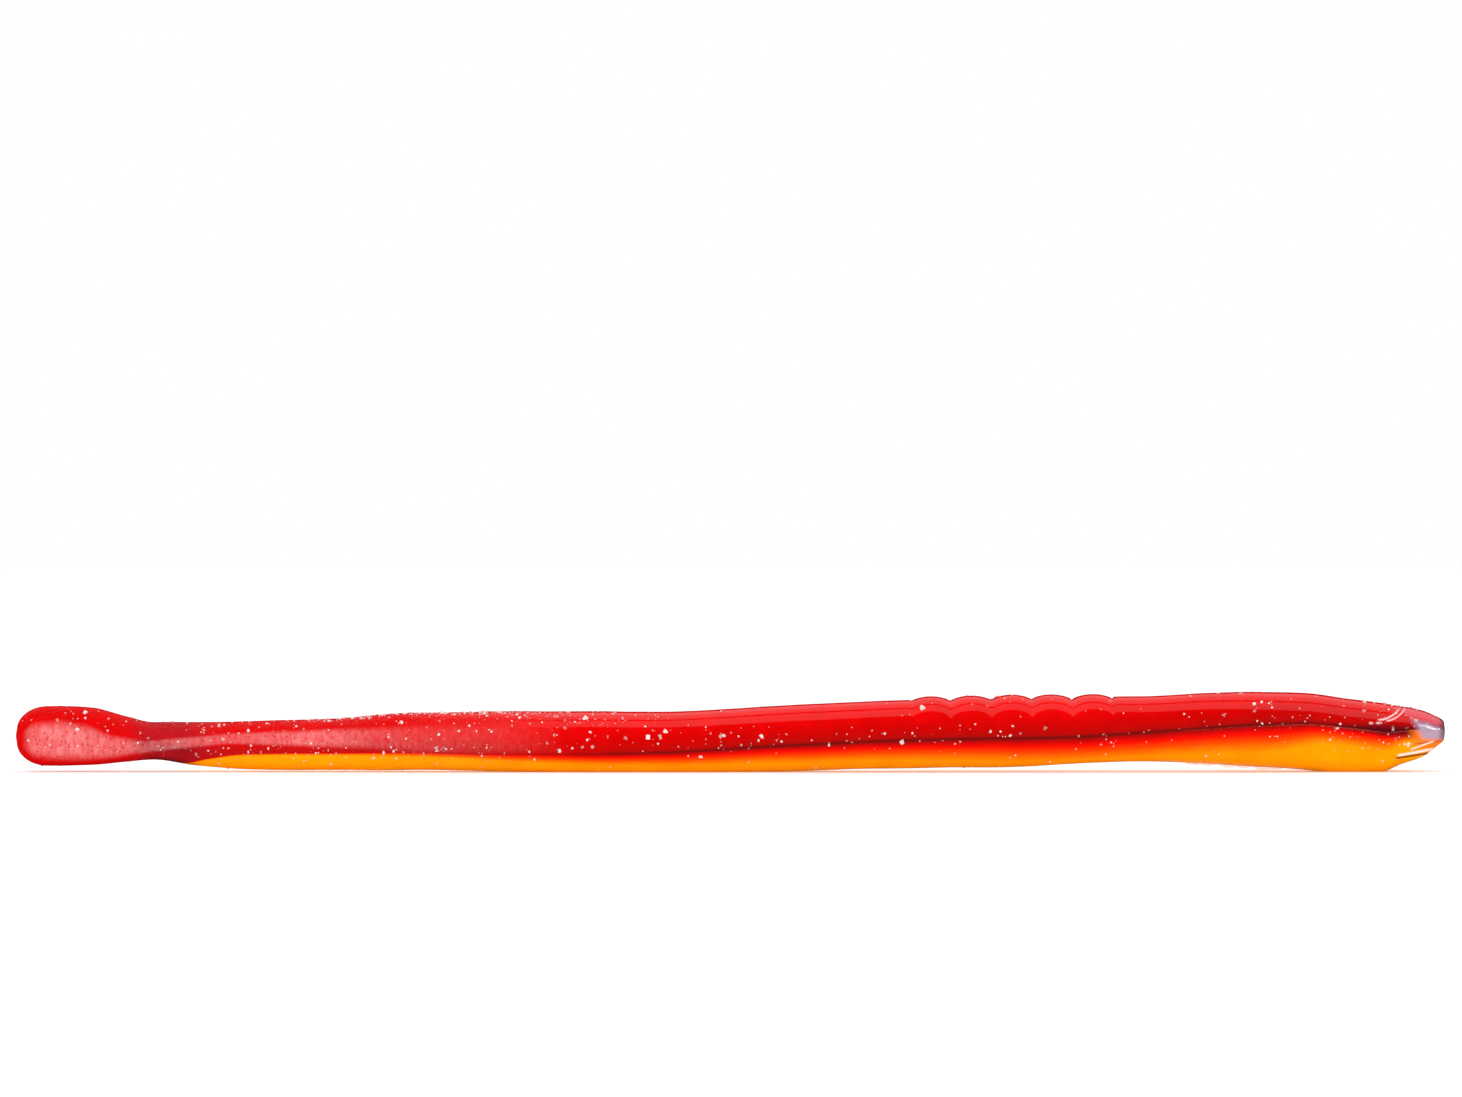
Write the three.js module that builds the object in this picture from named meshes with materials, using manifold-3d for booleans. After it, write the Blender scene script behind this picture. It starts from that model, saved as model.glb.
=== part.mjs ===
// A soft plastic fishing worm, in millimetres: +X to the nose, +Z to its back, belly on z = 0.
// The bait is two bonded layers of plastisol, a red back and an orange belly. It bends anywhere, so
// each layer is cut into thirteen links. Neighbouring links meet at a ball-shaped cut, and the
// centre of each ball is where that link hinges on the next.
import * as THREE from "three";
import { mergeVertices } from "three/addons/utils/BufferGeometryUtils.js";
import Module from "manifold-3d";

// Driving dimensions.
const LENGTH = 171; // nose to tail
const TAIL_END = { rounding: 3.6, tip: 0.2 }; // length of the rounding, and share of the full
const NOSE_END = { rounding: 4.2, tip: 0.24 }; // section that is left on the flat tip
const LAYER_GAP = 0.3; // between the red layer and the orange one
const LINK_GAP = 0.35; // between two links, all the way round their ball-shaped cut
const BALL_OVER_BODY = 1.18; // the ball's radius, over the half size of the section it crosses
const FLATTENED = 0.2; // what the weight of the bait presses flat under its two lowest places
const AROUND = 18; // corners of a section
const ALONG = 2.6; // distance between sections, halved at the neck
const NECK = { from: -71, to: -56 };
const FINEST = 0.006; // details smaller than this are dropped
const NOSE_X = LENGTH / 2;
const TAIL_X = -LENGTH / 2;

// The outline: x, lowest and highest z, width, and how far the middle lies towards the left (+y).
const OUTLINE = [
  [-85.5, 0.9, 8.0, 4.6, 0.1],
  [-80.5, 0.9, 8.05, 4.75, 0.1],
  [-76.5, 1.0, 7.85, 5.0, 0.2],
  [-72.5, 1.35, 6.85, 5.2, 0.4],
  [-69.0, 1.6, 6.1, 5.4, 0.55],
  [-64.0, 0.9, 6.1, 5.7, 0.6],
  [-58.0, 0.45, 6.25, 5.9, 0.3],
  [-49.0, 0.4, 6.5, 6.4, -0.1],
  [-38.0, 0.4, 7.25, 7.1, -0.6],
  [-20.0, 0.1, 7.45, 7.75, -0.7],
  [-8.0, 0.0, 7.4, 7.8, -0.7],
  [6.0, 0.25, 8.1, 7.65, -0.4],
  [20.0, 0.6, 8.75, 7.5, -0.25],
  [33.0, 0.75, 9.05, 7.7, 0.05],
  [49.0, 1.4, 9.2, 7.45, -0.05],
  [56.0, 1.2, 9.55, 7.5, -0.2],
  [62.0, 0.85, 9.75, 8.35, 0.25],
  [68.0, 0.45, 9.65, 8.65, 0.5],
  [74.0, 0.0, 8.9, 8.5, 0.8],
  [77.5, 0.0, 8.45, 8.3, 1.1],
  [80.5, 1.1, 7.95, 7.8, 1.4],
  [83.0, 1.9, 7.55, 7.4, 1.6],
  [85.5, 3.1, 7.0, 7.2, 1.6],
];

// Where the two layers meet on the skin: x, then the two angles in degrees, counted from the right
// side (-y) down under the belly (90) and up the left side (180). The tail is twisted to the left.
const LAYER_LINE = [
  [-85.5, 125, 243],
  [-73.0, 118, 242],
  [-68.0, 94, 240],
  [-62.5, 36, 238],
  [-58.5, 21, 236],
  [-52.0, 18, 230],
  [-28.0, 24, 218],
  [-8.0, 16, 206],
  [0.0, 13, 190],
  [10.0, 11, 180],
  [31.0, 9, 173],
  [41.0, 10, 172],
  [50.0, 4, 172],
  [64.0, -10, 172],
  [72.0, -16, 173],
  [80.5, -11, 177],
  [85.5, -6, 178],
];

// The egg sack, five low swellings across the back.
const EGG_SACK = { start: 21.4, pitch: 4.85, count: 5, height: 0.34, groove: 0.3, reach: 62 };

// The links from nose to tail, each with where it ends, which is also where its ball is centred.
// The half-length of the bait on either side of the middle link hangs from that link.
const LINK_LENGTH = 13.18;
const LINKS = [
  "head",
  "shoulder",
  "collar_front",
  "collar_rear",
  "fore_body_a",
  "fore_body_b",
  "mid_body",
  "aft_body_a",
  "aft_body_b",
  "aft_body_c",
  "aft_body_d",
  "wrist",
  "paddle",
];
const ROOT_LINK = "mid_body";
const FIRST_CUT = 72.3;

const LAYERS = {
  back: new THREE.MeshStandardMaterial({ color: 0xe60d08, roughness: 0.16, metalness: 0 }),
  belly: new THREE.MeshStandardMaterial({ color: 0xff8a05, roughness: 0.16, metalness: 0 }),
};

const wasm = await Module();
wasm.setup();

// The value at x of one column of a table, on a smooth curve that never overshoots a row.
function along(table, column, x) {
  const last = table.length - 1;
  const i = Math.min(last - 1, Math.max(0, table.findIndex((row) => row[0] > x) - 1));
  const at = x >= table[last][0] ? last - 1 : i;
  const slope = (k) => (table[k + 1][column] - table[k][column]) / (table[k + 1][0] - table[k][0]);
  const tangent = (k) => {
    if (k === 0 || k === last) return 0;
    const [before, after] = [slope(k - 1), slope(k)];
    return before * after <= 0 ? 0 : (2 * before * after) / (before + after);
  };
  const span = table[at + 1][0] - table[at][0];
  const t = THREE.MathUtils.clamp((x - table[at][0]) / span, 0, 1);
  const [t2, t3] = [t * t, t * t * t];
  return (
    (2 * t3 - 3 * t2 + 1) * table[at][column] +
    (t3 - 2 * t2 + t) * span * tangent(at) +
    (3 * t2 - 2 * t3) * table[at + 1][column] +
    (t3 - t2) * span * tangent(at + 1)
  );
}

// The share of its full size that a section keeps so far in from a rounded end.
function kept({ rounding, tip }, inset) {
  const left = THREE.MathUtils.clamp(1 - inset / rounding, 0, 1);
  return tip + (1 - tip) * Math.sqrt(1 - left * left);
}

// The middle and the half sizes of the section at x. The nose thins less in height than in width.
function section(x) {
  const [low, high, width, side] = [1, 2, 3, 4].map((column) => along(OUTLINE, column, x));
  const tail = kept(TAIL_END, x - TAIL_X);
  const nose = kept(NOSE_END, NOSE_X - x);
  return {
    y: side,
    z: (low + high) / 2,
    halfWidth: (width / 2) * tail * nose,
    halfHeight: ((high - low) / 2) * tail * Math.sqrt(nose),
  };
}

// The height of the egg sack's swellings over the plain back at x, for a direction in degrees.
function swelling(x, degrees) {
  const { start, pitch, count, height, groove, reach } = EGG_SACK;
  const offBack = Math.abs(THREE.MathUtils.euclideanModulo(degrees, 360) - 270);
  const place = (x - start) / pitch;
  if (offBack > reach || place < 0 || place > count) return 0;
  const dome = Math.abs(Math.sin(Math.PI * place)) ** 0.6;
  const across = Math.cos((Math.PI / 2) * (offBack / reach)) ** 0.7;
  return ((height + groove) * dome - groove) * across;
}

// A point of the skin, as [y, z], in the direction that LAYER_LINE counts its angles.
function skin(x, degrees) {
  const s = section(x);
  const angle = THREE.MathUtils.degToRad(degrees);
  const [across, down] = [Math.cos(angle), Math.sin(angle)];
  const radius = 1 / Math.hypot(across / s.halfWidth, down / s.halfHeight) + swelling(x, degrees);
  return [s.y - across * radius, s.z - down * radius];
}

function solidOf(geometry) {
  geometry.deleteAttribute("normal");
  geometry.deleteAttribute("uv");
  const merged = mergeVertices(geometry, 1e-4);
  return new wasm.Manifold(
    new wasm.Mesh({
      numProp: 3,
      vertProperties: merged.getAttribute("position").array,
      triVerts: new Uint32Array(merged.getIndex().array),
    }),
  );
}

function geometryOf(solid, origin) {
  const mesh = solid.getMesh();
  const geometry = new THREE.BufferGeometry()
    .setAttribute("position", new THREE.BufferAttribute(new Float32Array(mesh.vertProperties), 3))
    .setIndex(new THREE.BufferAttribute(new Uint32Array(mesh.triVerts), 1))
    .translate(-origin.x, -origin.y, -origin.z);
  geometry.computeVertexNormals();
  return geometry;
}

// The one body of a solid, without the slivers and hair-thin faces that a twisted cut can leave.
function cleanBody(solid) {
  const bodies = solid.simplify(FINEST).decompose();
  return bodies.reduce((best, body) => (body.volume() > best.volume() ? body : best));
}

// A closed solid through rings of points, tail first, with every ring the same number of corners.
function loft(stations, ringAt) {
  const rings = stations.map((x) => ringAt(x).map(([y, z]) => [x, y, z]));
  const corners = rings[0].length;
  const positions = rings.flat(2);
  const faces = [];
  for (let ring = 0; ring < rings.length - 1; ring++) {
    for (let k = 0; k < corners; k++) {
      const [a, b] = [ring * corners + k, ring * corners + ((k + 1) % corners)];
      faces.push(a, a + corners, b, b, a + corners, b + corners);
    }
  }
  const far = (rings.length - 1) * corners;
  for (let k = 1; k < corners - 1; k++) {
    faces.push(0, k, k + 1);
    faces.push(far, far + k + 1, far + k);
  }
  const geometry = new THREE.BufferGeometry();
  geometry.setAttribute("position", new THREE.BufferAttribute(new Float32Array(positions), 3));
  geometry.setIndex(faces);
  return solidOf(geometry);
}

// Places along the bait with a section: evenly spaced, closer at both ends and at the neck, and
// on the tops and grooves of the egg sack.
function stationsAlong() {
  const { start, pitch, count } = EGG_SACK;
  const steps = (from, to, size) => {
    const spans = Math.ceil((to - from) / size);
    return Array.from({ length: spans }, (_, k) => THREE.MathUtils.lerp(from, to, k / spans));
  };
  const curved = [0, 1, 2, 3].map((k) => 1 - Math.cos((k / 4) * (Math.PI / 2)));
  return [
    ...curved.map((share) => TAIL_X + TAIL_END.rounding * share),
    ...steps(TAIL_X + TAIL_END.rounding, NECK.from, ALONG),
    ...steps(NECK.from, NECK.to, ALONG / 2),
    ...steps(NECK.to, start, ALONG),
    ...steps(start, start + count * pitch, pitch / 3),
    ...steps(start + count * pitch, NOSE_X - NOSE_END.rounding, ALONG),
    ...curved.map((share) => NOSE_X - NOSE_END.rounding * share).concat(NOSE_X - NOSE_END.rounding),
  ].sort((a, b) => a - b);
}

const stations = stationsAlong();

function wholeBait() {
  const turns = Array.from({ length: AROUND }, (_, k) => (k * 360) / AROUND);
  return loft(stations, (x) =>
    turns.map((degrees) => {
      const [y, z] = skin(x, degrees);
      return [y, Math.max(z, FLATTENED)];
    }),
  );
}

// Everything on one side of the surface between the layers: side is 1 under it and -1 over it.
function layerSide(side) {
  const [wide, deep] = [6, 9];
  return loft([TAIL_X - 1, ...stations, NOSE_X + 1], (x) => {
    const inside = THREE.MathUtils.clamp(x, stations[0], NOSE_X);
    const [right, left] = [1, 2].map((column) =>
      new THREE.Vector2(...skin(inside, along(LAYER_LINE, column, inside))),
    );
    const sideways = left.clone().sub(right).normalize();
    const away = new THREE.Vector2(sideways.y, -sideways.x).multiplyScalar(side);
    const middle = right.add(left).multiplyScalar(0.5);
    const corner = (outwards, across) =>
      middle
        .clone()
        .addScaledVector(away, outwards)
        .addScaledVector(sideways, across * side)
        .toArray();
    return [
      corner(LAYER_GAP / 2, -wide),
      corner(deep, -wide),
      corner(deep, wide),
      corner(LAYER_GAP / 2, wide),
    ];
  });
}

// The centre of the ball-shaped cut at x, and the ball's radius.
function cutAt(x) {
  const s = section(x);
  return {
    centre: new THREE.Vector3(x, s.y, s.z),
    radius: BALL_OVER_BODY * Math.max(s.halfWidth, s.halfHeight),
  };
}

function ball({ centre, radius }, clearance = 0) {
  const upright = new THREE.SphereGeometry(radius + clearance, 16, 10).rotateX(Math.PI / 2);
  return solidOf(upright.translate(centre.x, centre.y, centre.z));
}

function slab(from, to) {
  const box = new THREE.BoxGeometry(to - from, 40, 40);
  return solidOf(box.translate((from + to) / 2, 0, 5));
}

// What lies between two cuts. The link nearer the middle of the bait has the ball, and its outer
// neighbour the cup.
function linkSpace(noseCut, tailCut, index, rootIndex) {
  const from = tailCut ? tailCut.centre.x : TAIL_X - 2;
  const to = noseCut ? noseCut.centre.x : NOSE_X + 2;
  let space = slab(from, to);
  if (noseCut) {
    const outer = index > rootIndex;
    space = outer ? space.subtract(ball(noseCut, LINK_GAP)) : space.add(ball(noseCut));
  }
  if (tailCut) {
    const outer = index < rootIndex;
    space = outer ? space.subtract(ball(tailCut, LINK_GAP)) : space.add(ball(tailCut));
  }
  return space;
}

function buildWorm() {
  const bait = wholeBait();
  const layers = { back: bait.intersect(layerSide(-1)), belly: bait.intersect(layerSide(1)) };
  const cuts = LINKS.slice(1).map((_, k) => cutAt(FIRST_CUT - k * LINK_LENGTH));
  const rootIndex = LINKS.indexOf(ROOT_LINK);
  const groups = LINKS.map((name, index) => {
    const hinge = index < rootIndex ? cuts[index] : cuts[index - 1];
    const origin = index === rootIndex ? new THREE.Vector3() : hinge.centre;
    const space = linkSpace(cuts[index - 1], cuts[index], index, rootIndex);
    const group = new THREE.Group();
    group.userData.hinge = origin;
    for (const [layer, material] of Object.entries(LAYERS)) {
      const body = cleanBody(layers[layer].intersect(space));
      const mesh = new THREE.Mesh(geometryOf(body, origin), material);
      mesh.name = `${layer}_${name}`;
      group.add(mesh);
    }
    return group;
  });
  // Each link hangs from its neighbour nearer the middle, so turning a group bends the bait there.
  groups.forEach((group, index) => {
    if (index === rootIndex) return;
    const parent = groups[index + (index < rootIndex ? 1 : -1)];
    group.position.subVectors(group.userData.hinge, parent.userData.hinge);
    parent.add(group);
  });
  return groups[rootIndex];
}

// The bait is set down with its lowest place at z = 0 and its middle over the origin.
function setDown(worm) {
  const holder = new THREE.Group().add(worm);
  const box = new THREE.Box3().setFromObject(holder, true);
  const middle = box.getCenter(new THREE.Vector3());
  worm.position.set(-middle.x, -middle.y, -box.min.z);
  return holder;
}

export default setDown(buildWorm());
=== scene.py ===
"""A soft plastic fishing worm of two bonded plastisol layers, lying on its belly.

Units are metres in the CAD model's frame: +X to the nose, +Y to the worm's left, +Z to its back.
Shapes are worked out in millimetres and scaled where a mesh is made."""

import math

import bpy
import numpy as np
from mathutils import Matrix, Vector


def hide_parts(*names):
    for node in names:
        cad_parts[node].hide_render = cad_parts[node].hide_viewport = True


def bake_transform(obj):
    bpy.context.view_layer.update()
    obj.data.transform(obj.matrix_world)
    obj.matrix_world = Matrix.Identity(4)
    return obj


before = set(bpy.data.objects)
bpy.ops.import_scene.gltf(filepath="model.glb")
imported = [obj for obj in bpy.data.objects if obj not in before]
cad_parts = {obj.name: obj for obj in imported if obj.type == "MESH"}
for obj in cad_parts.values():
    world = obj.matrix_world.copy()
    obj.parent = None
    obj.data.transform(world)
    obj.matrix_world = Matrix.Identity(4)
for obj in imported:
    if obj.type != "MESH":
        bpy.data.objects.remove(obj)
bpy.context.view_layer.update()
rng = np.random.default_rng(7)
MM = 0.001

# ---------------------------------------------------------------- the shape, as in the CAD model
HALF = 85.5  # half the length of the worm
FLATTENED = 0.2  # what its own weight presses flat under its lowest places
TAIL_END = (3.6, 0.2)  # length of the rounding at the tail, and the share left on its tip
NOSE_END = (4.2, 0.24)

# x, lowest and highest z, width, and how far the middle lies to the left
OUTLINE = np.array([
    (-85.5, 0.9, 8.0, 4.6, 0.1),
    (-80.5, 0.9, 8.05, 4.75, 0.1),
    (-76.5, 1.0, 7.85, 5.0, 0.2),
    (-72.5, 1.35, 6.85, 5.2, 0.4),
    (-69.0, 1.6, 6.1, 5.4, 0.55),
    (-64.0, 0.9, 6.1, 5.7, 0.6),
    (-58.0, 0.45, 6.25, 5.9, 0.3),
    (-49.0, 0.4, 6.5, 6.4, -0.1),
    (-38.0, 0.4, 7.25, 7.1, -0.6),
    (-20.0, 0.1, 7.45, 7.75, -0.7),
    (-8.0, 0.0, 7.4, 7.8, -0.7),
    (6.0, 0.25, 8.1, 7.65, -0.4),
    (20.0, 0.6, 8.75, 7.5, -0.25),
    (33.0, 0.75, 9.05, 7.7, 0.05),
    (49.0, 1.4, 9.2, 7.45, -0.05),
    (56.0, 1.2, 9.55, 7.5, -0.2),
    (62.0, 0.85, 9.75, 8.35, 0.25),
    (68.0, 0.45, 9.65, 8.65, 0.5),
    (74.0, 0.0, 8.9, 8.5, 0.8),
    (77.5, 0.0, 8.45, 8.3, 1.1),
    (80.5, 1.1, 7.95, 7.8, 1.4),
    (83.0, 1.9, 7.55, 7.4, 1.6),
    (85.5, 3.1, 7.0, 7.2, 1.6),
])

# Where the layers meet on the skin: x, then the angle on the right and on the left. Angles run
# from the right side (0) down under the belly (90), up the left side (180) and over the back.
LAYER_LINE = np.array([
    (-85.5, 125, 243),
    (-73.0, 118, 242),
    (-68.0, 94, 240),
    (-62.5, 36, 238),
    (-58.5, 21, 236),
    (-52.0, 18, 230),
    (-28.0, 24, 218),
    (-8.0, 16, 206),
    (0.0, 13, 190),
    (10.0, 11, 180),
    (31.0, 9, 173),
    (41.0, 10, 172),
    (50.0, 4, 172),
    (64.0, -10, 172),
    (72.0, -16, 173),
    (80.5, -11, 177),
    (85.5, -6, 178),
])

# the egg sack, five low swellings across the back: mm, and how far round it reaches in degrees
EGG_START, EGG_PITCH, EGG_COUNT = 21.4, 4.85, 5
EGG_HEIGHT, EGG_GROOVE, EGG_REACH = 0.34, 0.3, 62

LIP_DEEP = 0.28  # the crease of the mouth
LIP_HALF = 4.5  # its half width, in degrees round the section

LINKS = ["head", "shoulder", "collar_front", "collar_rear", "fore_body_a", "fore_body_b",
         "mid_body", "aft_body_a", "aft_body_b", "aft_body_c", "aft_body_d", "wrist", "paddle"]
LINK_LENGTH, FIRST_CUT = 13.18, 72.3
JOINTS_X = [FIRST_CUT - LINK_LENGTH * k for k in range(len(LINKS) - 1)]
ARC = math.radians(3.9)  # mm round the skin for a degree, on a body about 7.8 mm thick


def smooth(low, high, value):
    """0 below low, 1 above high, and smooth in between."""
    t = np.clip((np.asarray(value, float) - low) / (high - low), 0, 1)
    return t * t * (3 - 2 * t)


def hump(centre, half, value):
    """1 at the centre, falling smoothly to 0 a half-width away."""
    return np.clip(1 - ((np.asarray(value, float) - centre) / half) ** 2, 0, 1) ** 2


def along(table, column, x):
    """A column of a table at x, on a smooth curve that never overshoots a row."""
    xs, ys = table[:, 0], table[:, column]
    slopes = np.diff(ys) / np.diff(xs)
    tangents = np.zeros(len(xs))
    product = slopes[:-1] * slopes[1:]
    total = np.where(product > 0, slopes[:-1] + slopes[1:], 1)
    tangents[1:-1] = np.where(product > 0, 2 * product / total, 0)
    x = np.clip(x, xs[0], xs[-1])
    i = np.clip(np.searchsorted(xs, x, side="right") - 1, 0, len(xs) - 2)
    span = xs[i + 1] - xs[i]
    t = (x - xs[i]) / span
    return ((2 * t**3 - 3 * t**2 + 1) * ys[i] + (t**3 - 2 * t**2 + t) * span * tangents[i]
            + (3 * t**2 - 2 * t**3) * ys[i + 1] + (t**3 - t**2) * span * tangents[i + 1])


def kept(end, inset):
    """The share of its full size that a section keeps so far in from a rounded end."""
    rounding, tip = end
    left = np.clip(1 - inset / rounding, 0, 1)
    return tip + (1 - tip) * np.sqrt(1 - left * left)


def waves(x, angle, scale, seed):
    """Slow random unevenness of a moulded skin, about -1 to 1, for x in mm and an angle.

    Nine waves of random length, strength and number round the body are added up."""
    local = np.random.default_rng(seed)
    total = np.zeros(np.broadcast(x, angle).shape)
    for _ in range(9):
        length = scale * local.uniform(0.5, 2.2)
        turns = local.integers(0, 4)
        total += local.uniform(0.3, 1) * np.sin(
            2 * math.pi * x / length + turns * np.radians(angle) + local.uniform(0, 6.3))
    return total / 3.2


def skin(x, angle):
    """Points of the outer skin in mm, as an array of [..., 3], for x and angles in degrees."""
    low, high, width, side = (along(OUTLINE, c, x) for c in (1, 2, 3, 4))
    tail = kept(TAIL_END, x + HALF)
    nose = kept(NOSE_END, HALF - x)
    half_width = width / 2 * tail * nose
    half_height = (high - low) / 2 * tail * np.sqrt(nose)
    power = 2 + 0.55 * smooth(-70, -78, x) + 0.12 * smooth(-60, -40, x)
    across, down = np.cos(np.radians(angle)), np.sin(np.radians(angle))
    powers = np.abs(across / half_width) ** power + np.abs(down / half_height) ** power
    radius = powers ** (-1 / power)
    off_back = np.abs(np.mod(angle, 360) - 270)
    place = (x - EGG_START) / EGG_PITCH
    dome = np.abs(np.sin(math.pi * place)) ** 0.6
    ridge = np.cos(np.pi / 2 * np.clip(off_back / EGG_REACH, 0, 1)) ** 0.7
    in_sack = (place > 0) & (place < EGG_COUNT)
    swelling = ((EGG_HEIGHT + EGG_GROOVE) * dome - EGG_GROOVE) * ridge
    radius = radius + np.where(in_sack, swelling, 0)
    quiet = smooth(0, 6, HALF - np.abs(x))  # no unevenness at the two ends
    radius = radius + 0.035 * waves(x, angle, 19, 3) * quiet + 0.012 * waves(x, angle, 6, 4) * quiet
    radius = radius - lip_depth(x, angle)
    y = side - across * radius
    z = (low + high) / 2 - down * radius
    return np.stack(np.broadcast_arrays(x, y, z), axis=-1)


def lip_depth(x, angle):
    """How deep the crease of the mouth is, on both sides of the nose."""
    mirrored = np.where(np.mod(angle + 90, 360) < 180, angle, 180 - angle)
    crease = 48 + 3 * (x - 80)
    near = np.exp(-(((mirrored - crease) / LIP_HALF) ** 2))
    return LIP_DEEP * near * smooth(79.2, 80.6, x) * smooth(85.4, 84.2, x)


# ---------------------------------------------------------------- the grid that skins are cut from
ACROSS = 129  # points from one layer line to the other


def mid_links():
    """Where one skin piece ends and the next begins: the middle of each link between two joints."""
    return np.array([x - LINK_LENGTH / 2 for x in JOINTS_X[:-1]])


def ring_places():
    """Every x with a ring of points: close at both ends and by the nose, and at mid-links."""
    curved = lambda count: 1 - np.cos(np.linspace(0, 1, count) * math.pi / 2)
    places = np.concatenate([
        -HALF + 4.0 * curved(18), np.arange(-81.3, 76.0, 0.3), np.arange(75.6, 84.0, 0.1),
        HALF - 4.5 * curved(26), mid_links()])
    places = np.unique(np.round(places, 5))
    kept_places = [places[0]]
    for x in places[1:]:
        is_seam = np.min(np.abs(mid_links() - x)) < 1e-4
        if x - kept_places[-1] > 0.02 or x > HALF - 0.1 or is_seam:
            if is_seam and x - kept_places[-1] < 0.08:
                kept_places.pop()
            kept_places.append(x)
    return np.array(kept_places)


RINGS = ring_places()
SEAMS = [0] + sorted(int(np.argmin(np.abs(RINGS - x))) for x in mid_links()) + [len(RINGS) - 1]


def angle_grid(layer):
    """The angle of each point of a layer, a row for every ring."""
    right, left = along(LAYER_LINE, 1, RINGS), along(LAYER_LINE, 2, RINGS)
    start, end = (right, left) if layer == "belly" else (left, right + 360)
    t = np.linspace(0, 1, ACROSS)
    return start[:, None] + (end - start)[:, None] * t[None, :]


def build_grid():
    """Angles, points and normals of both layers, from one closed grid around the worm."""
    angles = {layer: angle_grid(layer) for layer in ("belly", "back")}
    ring = np.concatenate([angles["belly"][:, :-1], angles["back"][:, :-1]], axis=1)
    x = np.repeat(RINGS[:, None], ring.shape[1], axis=1)
    points = skin(x, ring)
    centre_y = (points[..., 1].min() + points[..., 1].max()) / 2
    points[..., 1] -= centre_y
    points[..., 2] = np.maximum(points[..., 2] - FLATTENED, 0.0)
    around = np.roll(points, -1, axis=1) - np.roll(points, 1, axis=1)
    lengthwise = np.gradient(points, axis=0)
    normals = np.cross(lengthwise, around)
    normals /= np.maximum(np.linalg.norm(normals, axis=-1, keepdims=True), 1e-9)
    outward = points - points.mean(axis=1, keepdims=True)
    if (normals * outward).sum() < 0:
        normals = -normals
    n = ACROSS - 1

    def part_of(values, layer):
        if layer == "belly":
            return values[:, :ACROSS]
        return np.concatenate([values[:, n:], values[:, :1]], axis=1)

    return {layer: (angles[layer], part_of(points, layer), part_of(normals, layer))
            for layer in angles}


GRID = build_grid()


# ---------------------------------------------------------------- paint
def rgb(code):
    """Linear colour from the six digits of an sRGB one."""
    c = np.array([int(code[i:i + 2], 16) / 255 for i in (0, 2, 4)])
    return np.where(c <= 0.04045, c / 12.92, ((c + 0.055) / 1.055) ** 2.4)


def ramp(stops, value):
    """Colours between stops of (value, colour)."""
    at = [s for s, _ in stops]
    colours = np.array([rgb(c) for _, c in stops])
    return np.stack([np.interp(value, at, colours[:, i]) for i in range(3)], axis=-1)


def mix(a, b, share):
    """Colour a with a share of colour b painted over it."""
    share = np.asarray(share)[..., None]
    return a * (1 - share) + b * share


FADE = np.array([  # how far below the right layer line the red has turned to orange
    (-85.5, 0.4), (-50, 0.45), (-35, 1.0), (-10, 1.8), (20, 2.8), (50, 3.5), (64, 3.2),
    (72, 2.1), (78, 2.3), (82, 1.0), (85.5, 0.5)])
# colours by the distance under and over the right layer line, the first as a share of FADE
UNDER_LINE = [(0, "5C0C0C"), (0.06, "8A0C0A"), (0.2, "C80402"), (0.36, "F01000"),
              (0.58, "FF4600"), (0.8, "FF7600"), (1.0, "FF9400"), (1.6, "FF9E00")]
OVER_LINE = [(0, "6A0E0E"), (0.12, "940A08"), (0.35, "B20906"), (0.9, "C00402"), (1.6, "CC0000"),
             (2.8, "E00000"), (4, "E60000")]
LEFT_LINE = [(0, "B43008"), (0.15, "E65A04"), (0.7, "FF8A02"), (1.5, "FF9C00")]
PAINTED_SHEEN_BAND = np.array([  # x, the height of the middle of the band of painted reflection, its half height, how pale it is
    (-84.6, 3.8, 1.0, 0.0),
    (-83.4, 3.8, 1.9, 0.75),
    (-80.0, 3.75, 2.2, 0.9),
    (-77.0, 3.5, 1.95, 0.85),
    (-74.0, 3.0, 1.3, 0.7),
    (-70.0, 3.0, 0.7, 0.5),
    (-67.0, 3.3, 0.65, 0.5),
    (-60.0, 4.0, 0.6, 0.45),
    (-50.0, 4.05, 0.95, 0.75),
    (-43.0, 4.1, 1.2, 0.35),
    (-36.0, 4.0, 1.6, 0.2),
    (-28.0, 4.0, 1.6, 0.14),
    (-20.0, 4.0, 1.6, 0.0),
])


def paint(layer, x, angle, point):
    """The skin's colour, with painted shade on the rear and painted reflection, highlights and
    shade on the nose: the layers bleed into each other along the line where they bond.
    """
    right, left = along(LAYER_LINE, 1, x), along(LAYER_LINE, 2, x)
    z = point[..., 2]
    shape = np.broadcast(x, angle).shape + (3,)
    flat = lambda code: np.broadcast_to(rgb(code), shape)
    if layer == "belly":
        from_right, from_left = (angle - right) * ARC, (left - angle) * ARC
        depth = np.maximum(from_right, 0) / along(FADE, 1, x) + 0.42 * smooth(-12, -34, x)
        colour = ramp(UNDER_LINE, depth)
        left_edge = smooth(1.6, 0.6, from_left) * smooth(0, 1, from_right)
        colour = mix(colour, ramp(LEFT_LINE, from_left), left_edge)
    else:
        from_left, from_right = (angle - left) * ARC, (right + 360 - angle) * ARC
        strength = 0.45 + 0.55 * smooth(-40, 5, x)
        colour = mix(flat("E40000"), ramp(OVER_LINE, from_right), strength)
        colour = mix(colour, flat("A81008"), smooth(0.35, 0.05, from_left) * 0.8)
        colour = paint_rear(colour, x, z)
    brown = smooth(-75, -72, x) * smooth(-62, -65, x) * hump(246, 24, np.mod(angle, 360))
    colour = mix(colour, flat("8A3324"), 0.9 * brown)
    foot = hump(-67, 4.5, x) * hump(78, 50, np.mod(angle, 360))
    colour = mix(colour, flat("5E1410"), 0.85 * foot)
    return paint_nose(layer, colour, x, angle, z)


def depth_below_top(x, z):
    """How far down the worm's side a height is, from 0 on its top to 1 on its bottom."""
    low, high = along(OUTLINE, 1, x) - FLATTENED, along(OUTLINE, 2, x) - FLATTENED
    return (high - z) / (high - low)


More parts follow.
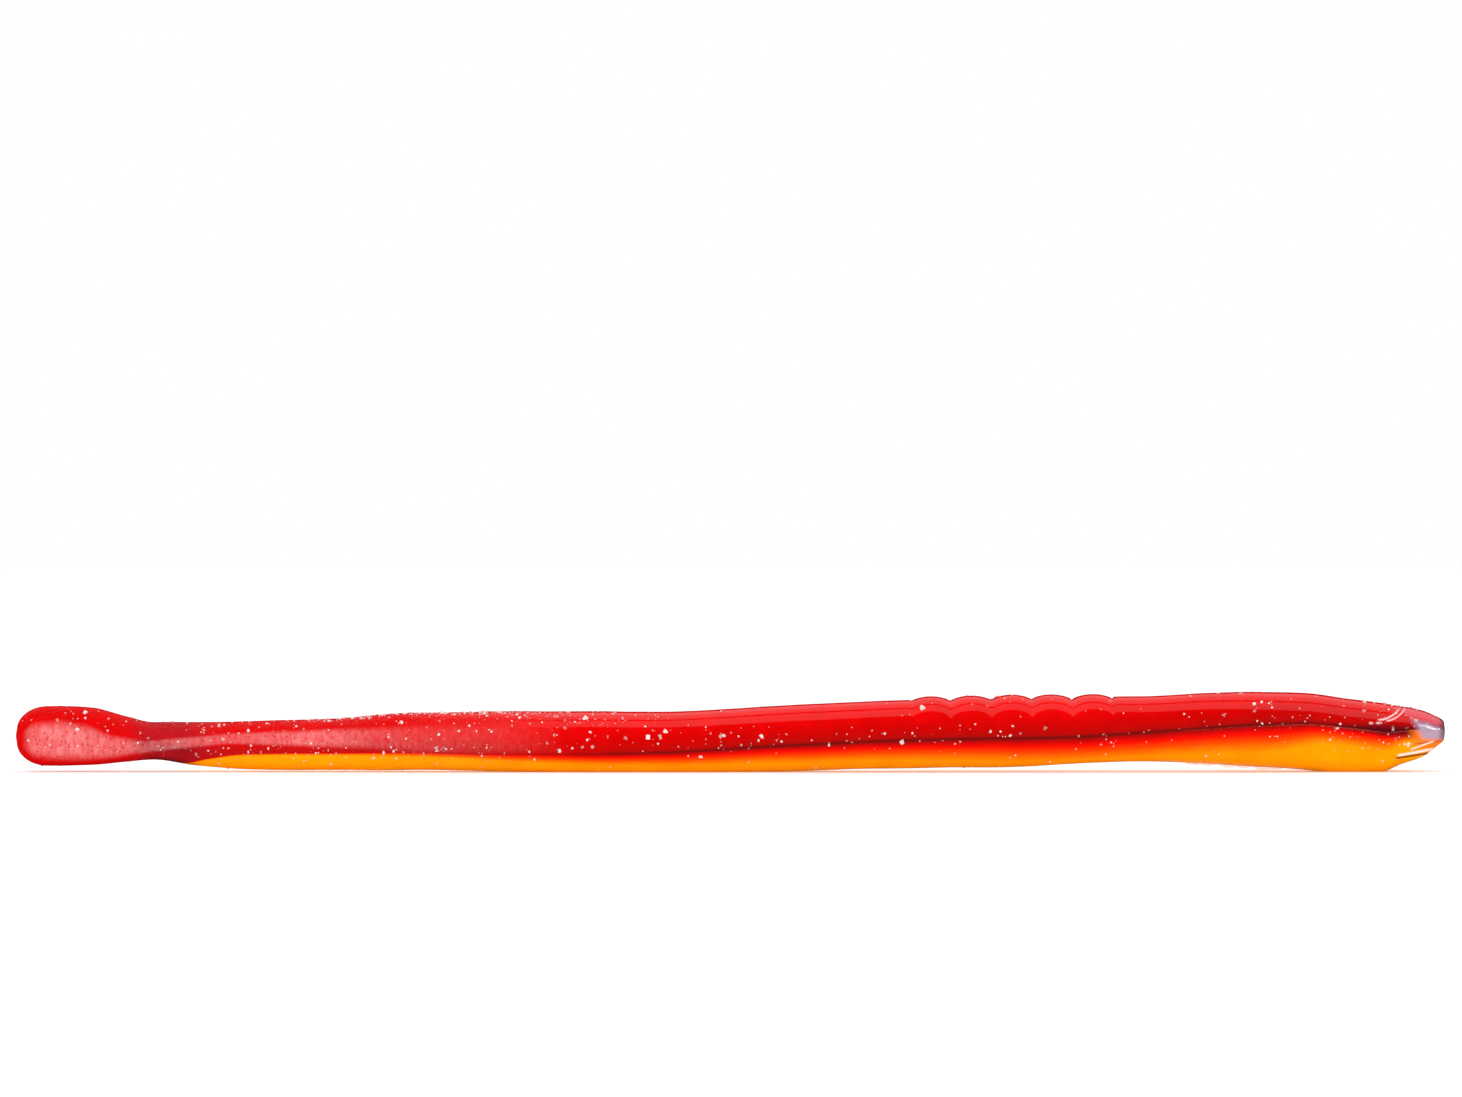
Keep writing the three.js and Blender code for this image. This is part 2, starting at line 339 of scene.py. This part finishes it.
def paint_rear(colour, x, z):
    """The rear half is a deeper red, and darkest at the neck, with painted shade in a band below
    the middle of each side.
    """
    flat = lambda code: np.broadcast_to(rgb(code), colour.shape)
    rear = smooth(-18, -46, x)
    colour = mix(colour, flat("D60204"), 0.85 * rear)
    down = depth_below_top(x, z)
    # painted shade: a darker band below the middle of the side
    shade = hump(0.68, 0.3, down) * smooth(-20, -34, x) * smooth(-66, -60, x)
    colour = mix(colour, flat("AC1414"), 0.6 * shade)
    neck = smooth(-73, -69, x) * smooth(-60, -66, x)
    colour = mix(colour, flat("AE1620"), 0.75 * neck)
    # painted shade, deeper still in that band at the neck
    colour = mix(colour, flat("7A1018"), 0.6 * neck * hump(0.66, 0.25, down))
    return colour


def line(x, start, end, value, half):
    """1 along a fine line that runs from one x to another, where value passes through 0."""
    return hump(0, half, value) * smooth(start, start + 0.4, x) * smooth(end, end - 0.4, x)


def paint_nose(layer, colour, x, angle, z):
    """The nose: a dark purple stain behind it, and on it a painted lavender-grey reflection,
    painted highlights and painted shade in its creases.
    """
    flat = lambda code: np.broadcast_to(rgb(code), colour.shape)
    height = z + FLATTENED
    thick = 0.45 + 0.55 * smooth(74, 80, x)
    stain = hump(5.45 - 0.1 * (x - 76), 1.35 * thick, height)
    colour = mix(colour, flat("4E0614"), 0.85 * stain * smooth(71, 77, x) * smooth(82.9, 82.0, x))
    # the cut facet of the nose, on which a lavender-grey reflection is painted
    facet = smooth(81.6, 82.7, x + 0.5 * (height - 5)) * smooth(3.8, 4.4, height)
    tip = smooth(84.4, 85.3, x)
    if layer == "back":
        pink = smooth(-0.3, 0.3, x - 80.4 - 0.9 * (7.4 - height)) * smooth(5.3, 5.8, height)
        colour = mix(colour, flat("DC4854"), 0.9 * pink)
        facet = facet * smooth(6.3, 5.5, height + 0.25 * (x - 83.5))
        # painted reflection on the facet, with a darker rim painted along its edge
        colour = mix(colour, flat("B49EBA"), 0.92 * facet)
        colour = mix(colour, flat("6A3444"), 1.6 * facet * (1 - facet))
        crack = line(x, 82.3, 84.6, height - 5.0 + 0.1 * (x - 83), 0.16)
        colour = mix(colour, flat("3C2030"), crack * 0.85)
        # painted highlights: a bright glint, and a fainter line above it
        glint = line(x, 82.8, 84.7, height - 5.35 + 0.3 * (x - 84), 0.2)
        colour = mix(colour, flat("FBF4FA"), glint)
        colour = mix(colour, flat("E8DCEA"), line(x, 82.0, 83.6, height - 5.75, 0.12) * 0.8)
        right = smooth(-0.1, 0.2, np.cos(np.radians(angle)))
        # painted highlights on two curved wrinkles and on a tick of a crease, and two dashes of
        # white salt, all on the right side
        wrinkle_glints_and_salt = line(x, 77.1, 80.1, height - 6.45 - 0.18 * (x - 77.3) ** 2, 0.15)
        wrinkle_glints_and_salt = wrinkle_glints_and_salt + line(x, 78.1, 80.9, height - 6.3 - 0.2 * (x - 78) ** 2, 0.12)
        dashes = hump(76.35, 0.34, x) + hump(77.2, 0.34, x)
        wrinkle_glints_and_salt = wrinkle_glints_and_salt + dashes * hump(6.07, 0.18, height)
        wrinkle_glints_and_salt = wrinkle_glints_and_salt + hump(79, 0.17, x) * hump(4.95, 0.9, height)
        colour = mix(colour, flat("FFE6E4"), np.clip(wrinkle_glints_and_salt, 0, 1) * right * 0.9)
    else:
        colour = mix(colour, flat("FF7A1E"), smooth(80.4, 82.6, x) * smooth(2.5, 3.4, height))
        # painted reflection on the facet
        colour = mix(colour, flat("9C96B0"), 0.85 * facet)
        # painted shade in the crease of the mouth
        mouth_crease_shade = line(x, 79.2, 83.8, height - 1.85 - 0.13 * (x - 79.4), 0.2)
        colour = mix(colour, flat("5A1406"), mouth_crease_shade)
        # painted shade along a crease higher up the nose
        upper_crease_shade = line(x, 81.4, 85.2, height - 3.7 - 0.1 * (x - 83), 0.14)
        colour = mix(colour, flat("8A4030"), upper_crease_shade * 0.8)
        # painted highlights beside the crease of the mouth
        shine = line(x, 79.5, 84.2, height - 2.2 - 0.17 * (x - 79.8), 0.24)
        shine = np.maximum(shine, line(x, 81.0, 84.2, height - 2.95 - 0.34 * (x - 81.3), 0.13))
        colour = mix(colour, flat("FFF6F0"), 0.95 * shine)
    return mix(colour, flat("5C3844"), 0.7 * tip * smooth(3.6, 4.4, height))


def matte(x):
    """0 where the skin is glassy, 1 where it is pitted and frosted."""
    return smooth(-14, -42, x)


def painted_sheen(x, z):
    """How strongly the painted reflection shows on the rough rear skin: a band down each side, and
    the paddle's facet.
    """
    centre, half, strength = (np.interp(x, PAINTED_SHEEN_BAND[:, 0], PAINTED_SHEEN_BAND[:, c]) for c in (1, 2, 3))
    across = np.abs(z - centre) / half
    return strength * smooth(1.25, 0.55, across)


# ---------------------------------------------------------------- materials
def new_material(name):
    material = bpy.data.materials.new(name)
    material.use_nodes = True
    nodes, links = material.node_tree.nodes, material.node_tree.links
    return material, nodes, links, nodes["Principled BSDF"]


def attribute(nodes, name):
    node = nodes.new("ShaderNodeAttribute")
    node.attribute_name = name
    return node


def noise(nodes, links, vector, scale, detail=2):
    node = nodes.new("ShaderNodeTexNoise")
    node.inputs["Scale"].default_value = scale
    node.inputs["Detail"].default_value = detail
    links.new(vector, node.inputs["Vector"])
    return node.outputs["Fac"]


def span(nodes, links, value, to, source=(0, 1)):
    """A value taken from one range to another, and kept within it."""
    node = nodes.new("ShaderNodeMapRange")
    node.inputs["From Min"].default_value, node.inputs["From Max"].default_value = source
    node.inputs["To Min"].default_value, node.inputs["To Max"].default_value = to
    links.new(value, node.inputs["Value"])
    return node.outputs["Result"]


def product(nodes, links, first, second):
    node = nodes.new("ShaderNodeMath")
    node.operation = "MULTIPLY"
    links.new(first, node.inputs[0])
    links.new(second, node.inputs[1])
    return node.outputs["Value"]


def shaded(nodes, links, colour, brightness):
    """A colour times a brightness."""
    node = nodes.new("ShaderNodeVectorMath")
    node.operation = "SCALE"
    links.new(colour, node.inputs[0])
    links.new(brightness, node.inputs["Scale"])
    return node.outputs["Vector"]


SHEEN_STREAK_STRETCH = (2300, 900, 900)  # the streaks of the painted reflection run round the body, so their noise is drawn out


def skin_material(name, glow, sheen_colour):
    """Glossy plastisol: painted layers, faint mottling, and on the rear real pits and a painted
    reflection broken into streaks.

    glow is painted light: the skin emits its own colour, standing in for the light that the
    translucent plastic carries round from its other side."""
    material, nodes, links, shader = new_material(name)
    colour, rest, frosted, pale = (attribute(nodes, n) for n in ("paint", "rest", "matte", "painted_sheen"))
    place, frosted = rest.outputs["Vector"], frosted.outputs["Fac"]
    mottle = span(nodes, links, noise(nodes, links, place, 420, 5), (0.9, 1.04), (0.3, 0.7))
    tinted = shaded(nodes, links, colour.outputs["Color"], mottle)

    stretched = nodes.new("ShaderNodeVectorMath")
    stretched.operation = "MULTIPLY"
    stretched.inputs[1].default_value = SHEEN_STREAK_STRETCH
    links.new(place, stretched.inputs[0])
    sheen_streaks = noise(nodes, links, stretched.outputs["Vector"], 1, 3)
    pits = nodes.new("ShaderNodeTexVoronoi")
    pits.inputs["Scale"].default_value = 1700
    links.new(place, pits.inputs["Vector"])
    broken = span(nodes, links, sheen_streaks, (0.5, 1), (0.36, 0.66))
    unpitted = span(nodes, links, pits.outputs["Distance"], (0.35, 1), (0.14, 0.3))
    share = product(nodes, links, product(nodes, links, broken, pale.outputs["Fac"]), unpitted)
    # the painted reflection laid over the skin's colour, broken into streaks and thinner in the
    # pits
    with_sheen = nodes.new("ShaderNodeMix")
    with_sheen.data_type = "RGBA"
    links.new(share, with_sheen.inputs["Factor"])
    links.new(tinted, with_sheen.inputs["A"])
    with_sheen.inputs["B"].default_value = (*rgb(sheen_colour), 1)
    links.new(with_sheen.outputs["Result"], shader.inputs["Base Color"])
    # painted glow: the skin emits its own colour at the strength glow
    links.new(with_sheen.outputs["Result"], shader.inputs["Emission Color"])
    shader.inputs["Emission Strength"].default_value = glow

    relief = nodes.new("ShaderNodeMath")
    relief.operation = "MULTIPLY_ADD"
    relief.inputs[1].default_value = 0.5  # how much of the relief is the pits, beside the grain
    links.new(span(nodes, links, pits.outputs["Distance"], (0, 1), (0, 0.45)), relief.inputs[0])
    links.new(noise(nodes, links, place, 1500, 4), relief.inputs[2])
    bump = nodes.new("ShaderNodeBump")
    bump.inputs["Distance"].default_value = 0.16 * MM
    links.new(span(nodes, links, frosted, (0.03, 1)), bump.inputs["Strength"])
    links.new(relief.outputs["Value"], bump.inputs["Height"])
    links.new(bump.outputs["Normal"], shader.inputs["Normal"])
    links.new(span(nodes, links, frosted, (0.07, 0.22)), shader.inputs["Roughness"])
    links.new(span(nodes, links, frosted, (0.5, 0.06)), shader.inputs["Specular IOR Level"])
    shader.inputs["IOR"].default_value = 1.47
    return material


def salt_material():
    """Salt: white, a little uneven, with a sheen on its facets."""
    material, nodes, links, shader = new_material("salt")
    colour, rest = attribute(nodes, "paint"), attribute(nodes, "rest")
    cloud = noise(nodes, links, rest.outputs["Vector"], 2600)
    cloud = span(nodes, links, cloud, (0.8, 1.1))
    tinted = shaded(nodes, links, colour.outputs["Color"], cloud)
    links.new(tinted, shader.inputs["Base Color"])
    shader.inputs["Roughness"].default_value = 0.3
    return material


def flash_material():
    """Flash: a hair-thin film of the same plastic, pale because it is thin."""
    material, nodes, links, shader = new_material("flash")
    cloud = noise(nodes, links, attribute(nodes, "rest").outputs["Vector"], 700, 4)
    tint = nodes.new("ShaderNodeValToRGB")
    tint.color_ramp.elements[0].color = (*rgb("FF9A48"), 1)
    tint.color_ramp.elements[1].color = (*rgb("FFDDBE"), 1)
    links.new(cloud, tint.inputs["Fac"])
    links.new(tint.outputs["Color"], shader.inputs["Base Color"])
    links.new(span(nodes, links, cloud, (0.1, 0.5)), shader.inputs["Alpha"])
    shader.inputs["Roughness"].default_value = 0.2
    return material


# for each skin: its painted glow, and the colour of the painted reflection on its rear
MATERIALS = {
    "back": skin_material("red_plastisol", 0.06, "F28C8C"),
    "belly": skin_material("orange_plastisol", 0.2, "FFB45C"),
    "salt": salt_material(),
    "flash": flash_material(),
}


# ---------------------------------------------------------------- pieces
CAP_BULGE = 0.12  # how far the two ends stand out over their last ring, in mm


def stretch(joint):
    """From where to where along the worm the pieces round a joint reach: mid-link to mid-link."""
    past_ends = 90
    bottom = -past_ends if joint == len(JOINTS_X) - 1 else JOINTS_X[joint] - LINK_LENGTH / 2
    top = past_ends if joint == 0 else JOINTS_X[joint] + LINK_LENGTH / 2
    return bottom, top


def make_mesh(name, points, faces, material, paints=None, normals=None, finish=None):
    """A mesh object from points in mm, with its rest position and paint kept on its vertices."""
    mesh = bpy.data.meshes.new(name)
    mesh.from_pydata((points * MM).tolist(), [], faces)
    rest = mesh.attributes.new("rest", "FLOAT_VECTOR", "POINT")
    rest.data.foreach_set("vector", (points * MM).astype(np.float32).ravel())
    if paints is not None:
        colours = np.concatenate([paints, np.ones((len(paints), 1))], axis=1)
        layer = mesh.attributes.new("paint", "FLOAT_COLOR", "POINT")
        layer.data.foreach_set("color", colours.astype(np.float32).ravel())
    for kind, values in (finish or {}).items():
        layer = mesh.attributes.new(kind, "FLOAT", "POINT")
        layer.data.foreach_set("value", values.astype(np.float32))
    mesh.update()
    if normals is not None:
        mesh.shade_smooth()
        mesh.normals_split_custom_set_from_vertices(normals.tolist())
    mesh.materials.append(material)
    obj = bpy.data.objects.new(name, mesh)
    bpy.context.scene.collection.objects.link(obj)
    return obj


def carry(obj):
    """Bakes the piece's placement into its mesh."""
    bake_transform(obj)


def close_end(ring, outward, points, paints, finish):
    """The rounded cap over one end of the worm, as points, normals, paint, finish and faces.

    It starts from the ring's own points, which its faces number first."""
    whole = np.concatenate([GRID["belly"][1][ring], GRID["back"][1][ring]])
    middle = whole.mean(axis=0)
    rows = [middle + (points - middle) * share + [outward * CAP_BULGE * (1 - share**2), 0, 0]
            for share in (0.75, 0.5, 0.25)]
    verts = np.concatenate(rows + [middle[None] + [outward * CAP_BULGE, 0, 0]])
    paints = np.concatenate([paints] * 3 + [paints.mean(axis=0)[None]])
    finish = np.concatenate([finish] * 3 + [finish[:1]])
    index = np.arange(4 * ACROSS).reshape(4, ACROSS)
    faces = []
    for outer, inner in zip(index[:-1], index[1:]):
        cap = np.stack([outer[:-1], inner[:-1], inner[1:], outer[1:]], axis=-1)
        faces += (cap if outward < 0 else cap[:, ::-1]).tolist()
    tip = 4 * ACROSS
    for a, b in zip(index[-1][:-1], index[-1][1:]):
        faces.append([int(a), tip, int(b)] if outward < 0 else [int(b), tip, int(a)])
    return verts, np.tile([outward, 0, 0], (len(verts), 1)), paints, finish, faces


def make_skin(layer, joint):
    """One stretch of a layer's skin, from the middle of one link to the middle of the next."""
    section = len(JOINTS_X) - 1 - joint  # rings run from the tail
    first, last = SEAMS[section], SEAMS[section + 1]
    angles, points, normals = (a[first:last + 1] for a in GRID[layer])
    xs = np.repeat(RINGS[first:last + 1, None], ACROSS, axis=1)
    verts, norms = points.reshape(-1, 3), normals.reshape(-1, 3)
    paints = paint(layer, xs, angles, points).reshape(-1, 3)
    finish = np.stack([matte(xs).ravel(), painted_sheen(xs, points[..., 2]).ravel()], axis=1)
    index = np.arange(len(verts)).reshape(-1, ACROSS)
    quads = [index[:-1, :-1], index[:-1, 1:], index[1:, 1:], index[1:, :-1]]
    faces = np.stack(quads, axis=-1).reshape(-1, 4).tolist()
    for ring, row, outward in ((0, index[0], -1), (len(RINGS) - 1, index[-1], 1)):
        if ring not in (first, last):
            continue
        cap = close_end(ring, outward, verts[row], paints[row], finish[row])
        number = np.concatenate([row, len(verts) + np.arange(len(cap[0]))])
        faces += [number[face].tolist() for face in cap[4]]
        verts, norms, paints, finish = (
            np.concatenate(pair) for pair in zip((verts, norms, paints, finish), cap[:4]))
    name = f"{layer}_skin_{LINKS[joint]}_to_{LINKS[joint + 1]}"
    obj = make_mesh(name, verts, faces, MATERIALS[layer], paints, norms,
                    {"matte": finish[:, 0], "painted_sheen": finish[:, 1]})
    replaced = [f"{layer}_{LINKS[joint]}"]
    if joint == len(JOINTS_X) - 1:
        replaced.append(f"{layer}_{LINKS[joint + 1]}")
    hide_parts(*replaced)
    carry(obj)


# ---------------------------------------------------------------- salt
CUBE = np.array([(x, y, z) for x in (-1, 1) for y in (-1, 1) for z in (-1, 1)], float)
CUBE_FACES = [(0, 1, 3, 2), (4, 6, 7, 5), (0, 4, 5, 1), (2, 3, 7, 6), (0, 2, 6, 4), (1, 5, 7, 3)]
# groups of grains: how many, round which x and how spread, round which angle and how spread. The
# first group is all over the worm.
SALT = [
    (420, 0, 49, 0, 360),
    (60, 70, 8, 300, 60),
    (170, -32, 8, 283, 6),
    (110, -40, 6, 286, 7),
    (60, -48, 7, 290, 9),
    (70, -58, 12, 15, 14),
    (50, -26, 5, 300, 8),
    (60, -18, 8, 320, 14),
    (50, -36, 8, 20, 9),
    (70, -5, 20, 352, 14),
    (45, 30, 26, 8, 10),
    (35, 74, 6, 352, 12),
    (30, 79, 2.5, 285, 25),
    (60, -55, 14, 310, 22),
    (26, -70, 3, 250, 18),
    (40, -78, 5, 300, 40),
    (34, 82.5, 1.6, 330, 50),
]


def skin_at(x, angle):
    """The point and normal of the skin nearest to x and an angle, and the layer it is in."""
    right, left = float(along(LAYER_LINE, 1, x)), float(along(LAYER_LINE, 2, x))
    angle = (angle - right) % 360 + right
    layer, start, end = ("belly", right, left) if angle < left else ("back", left, right + 360)
    row = int(np.argmin(np.abs(RINGS - x)))
    column = int(round((angle - start) / (end - start) * (ACROSS - 1)))
    return layer, GRID[layer][1][row, column], GRID[layer][2][row, column], angle


def scatter_salt():
    """Every grain as (x, size, is it bright, place, normal, colour under it, spin)."""
    grains = []
    for count, x, spread, angle, turn in SALT:
        for _ in range(count):
            everywhere = spread > 40
            at = rng.uniform(-84.5, 84.8) if everywhere else x + rng.normal(0, spread)
            around = rng.uniform(0, 360) if turn >= 360 else angle + rng.normal(0, turn)
            size = min(0.1 + rng.gamma(1.5, 0.07), 0.58)
            bright = rng.random() < 0.26
            spin = rng.normal(size=4)
            if abs(at) > 84.9:
                continue
            layer, point, normal, exact = skin_at(at, around)
            under = paint(layer, np.array([at]), np.array([exact]), point[None])[0]
            grains.append((at, size, bright, point, normal, under, spin / np.linalg.norm(spin)))
    return grains


def rotation(q):
    """The rotation matrix of a unit quaternion."""
    w, x, y, z = q
    return np.array([(1 - 2 * (y * y + z * z), 2 * (x * y - z * w), 2 * (x * z + y * w)),
                     (2 * (x * y + z * w), 1 - 2 * (x * x + z * z), 2 * (y * z - x * w)),
                     (2 * (x * z - y * w), 2 * (y * z + x * w), 1 - 2 * (x * x + y * y))])


def make_salt(joint, grains):
    """The grains on one stretch of skin, half-sunk cubes as one mesh."""
    verts, faces, paints = [], [], []
    for _, size, bright, point, normal, under, spin in grains:
        corners = (CUBE * (size / 2) * np.array([1, 0.85, 0.7])) @ rotation(spin).T
        sunk = 0.08 if bright else 0.3
        base = len(verts) * 8
        placed = corners + point - normal * size * sunk
        placed[:, 2] += max(0.0, 0.01 - placed[:, 2].min())
        verts.append(placed)
        faces += [[base + i for i in face] for face in CUBE_FACES]
        white = rgb("FFF6F2")
        share = 0.9 if bright else rng.uniform(0.2, 0.5)
        paints.append(np.tile(white * share + under * (1 - share), (8, 1)))
    name = f"salt_{LINKS[joint]}_to_{LINKS[joint + 1]}"
    obj = make_mesh(name, np.concatenate(verts), faces, MATERIALS["salt"], np.concatenate(paints))
    carry(obj)


# ---------------------------------------------------------------- flash
# films: where they grow from the skin, their two ends along the worm, greatest width
FLASH = [("left", -30, 46, 0.32), ("right_edge", 54, 84.8, 0.3), ("belly_flap", 51, 69, 0.55)]


def flash_points(kind, x):
    """The points and normals of the skin that a film grows from."""
    if kind == "left":
        angle = along(LAYER_LINE, 2, x) - 2
    elif kind == "right_edge":
        angle = along(LAYER_LINE, 1, x) + 3
    else:
        angle = 72 + 0 * x
    return np.array([skin_at(float(a), float(b))[1:3] for a, b in zip(x, angle)])


def make_flash(kind, start, end, width, joint):
    """The part of a film that is on one stretch of skin, if any."""
    bottom, top = stretch(joint)
    first, last = max(start, bottom), min(end, top)
    if last - first < 0.5:
        return
    x = np.linspace(first, last, max(int((last - first) / 0.35), 3))
    found = flash_points(kind, x)
    points, normals = found[:, 0], found[:, 1]
    taper = np.minimum(smooth(start, start + 5, x), smooth(end, end - 5, x))
    reach = width * taper * (0.72 + 0.28 * np.sin(x * 2.3) * np.sin(x * 0.71 + 1)) + 0.02
    outer = points + normals * reach[:, None]
    outer[:, 2] = np.maximum(outer[:, 2], 0.02)
    root, thick = points - normals * 0.05, np.array([0, 0, 0.012])
    verts = np.concatenate([root + thick, outer + thick * 0.3, outer - thick * 0.3, root - thick])
    n = len(x)
    faces = []
    for k in range(n - 1):
        for a in range(4):
            b = (a + 1) % 4
            faces.append([a * n + k, a * n + k + 1, b * n + k + 1, b * n + k])
    faces += [[0, n, 2 * n, 3 * n][::-1], [n - 1, 2 * n - 1, 3 * n - 1, 4 * n - 1]]
    obj = make_mesh(f"flash_{kind}_{LINKS[joint]}", verts, faces, MATERIALS["flash"])
    carry(obj)


grains = scatter_salt()
for joint in range(len(JOINTS_X)):
    for layer in ("back", "belly"):
        make_skin(layer, joint)
    bottom, top = stretch(joint)
    make_salt(joint, [g for g in grains if bottom <= g[0] < top])
    for film in FLASH:
        make_flash(*film, joint)


# ---------------------------------------------------------------- studio
def plain_material(name, colour, emission=0.0):
    material, _, _, shader = new_material(name)
    shader.inputs["Base Color"].default_value = (*colour, 1)
    shader.inputs["Roughness"].default_value = 0.9
    shader.inputs["Specular IOR Level"].default_value = 0.0
    if emission:
        shader.inputs["Emission Color"].default_value = (1, 1, 1, 1)
        shader.inputs["Emission Strength"].default_value = emission
    return material


def sheet(name, corners, faces, material, seen_by):
    """A thin sheet, seen only by the kinds of ray that are named."""
    mesh = bpy.data.meshes.new(name)
    mesh.from_pydata(corners, [], faces)
    mesh.materials.append(material)
    obj = bpy.data.objects.new(name, mesh)
    bpy.context.scene.collection.objects.link(obj)
    for ray in ("camera", "diffuse", "glossy", "transmission", "volume_scatter", "shadow"):
        setattr(obj, f"visible_{ray}", ray in seen_by)


def arc_softbox(name, low, high, material):
    """A long softbox that only gloss sees, between two elevations in degrees round the worm.

    90 is straight above, and less than that is on the camera's side."""
    radius, half_length, steps = 0.6, 0.8, 13
    corners = []
    for elevation in np.radians(np.linspace(low, high, steps)):
        y, z = -radius * math.cos(elevation), radius * math.sin(elevation)
        corners += [(-half_length, y, z), (half_length, y, z)]
    faces = [(2 * k, 2 * k + 1, 2 * k + 3, 2 * k + 2) for k in range(steps - 1)]
    sheet(name, corners, faces, material, ("glossy",))


def light(name, place, size, power):
    """A soft lamp aimed at the worm, which neither the camera nor gloss sees."""
    lamp = bpy.data.lights.new(name, "AREA")
    lamp.shape = "RECTANGLE"
    lamp.size, lamp.size_y = size
    lamp.energy = power
    obj = bpy.data.objects.new(name, lamp)
    obj.location = place
    obj.rotation_euler = (-Vector(place)).to_track_quat("-Z", "Y").to_euler()
    obj.visible_camera = False
    obj.visible_glossy = False
    bpy.context.scene.collection.objects.link(obj)


def set_up_studio():
    """A pale floor, and a dark room with two softboxes in it that only gloss sees."""
    white = plain_material("floor_white", (0.93, 0.93, 0.93), 0.1)
    half_floor = 8
    square = ((-1, -1), (1, -1), (1, 1), (-1, 1))
    ground = [(half_floor * x, half_floor * y, 0) for x, y in square]
    sheet("floor", ground, [(0, 1, 2, 3)], white, ("camera", "diffuse", "shadow"))
    far = 3.2
    room = [(far * x, far * y, far * z) for z in (-1, 1) for x, y in square]
    walls = [(0, 1, 2, 3), (4, 7, 6, 5), (0, 4, 5, 1), (1, 5, 6, 2), (2, 6, 7, 3), (3, 7, 4, 0)]
    dark = plain_material("black_flag", (0.012, 0.012, 0.013))
    sheet("dark_room", room, walls, dark, ("glossy",))
    glow = plain_material("softbox_front", (0, 0, 0), 0.75)
    arc_softbox("softbox_over_camera_side", 58, 90, glow)
    arc_softbox("softbox_over_far_side", 97, 146, glow)
    world = bpy.data.worlds.new("world")
    world.use_nodes = True
    world.node_tree.nodes["Background"].inputs["Color"].default_value = (1, 1, 1, 1)
    world.node_tree.nodes["Background"].inputs["Strength"].default_value = 1.0
    bpy.context.scene.world = world
    light("fill_camera_side", (0.1, -1.2, 0.7), (1.6, 1.0), 3.0)
    light("fill_overhead", (0, 0.3, 1.4), (1.6, 1.6), 3.0)


def set_up_camera():
    """A level look at the worm's right side, from the height that puts it low in the frame."""
    lens, sensor, frame_width = 165, 36, 0.1751
    camera = bpy.data.cameras.new("camera")
    camera.lens, camera.sensor_width = lens, sensor
    camera.clip_start, camera.clip_end = 0.01, 50
    obj = bpy.data.objects.new("camera", camera)
    obj.location = (0, -frame_width * lens / sensor, 0.0267)
    obj.rotation_euler = (math.pi / 2, 0, 0)
    bpy.context.scene.collection.objects.link(obj)
    bpy.context.scene.camera = obj


set_up_studio()
set_up_camera()
bpy.context.scene.view_settings.view_transform = "Standard"
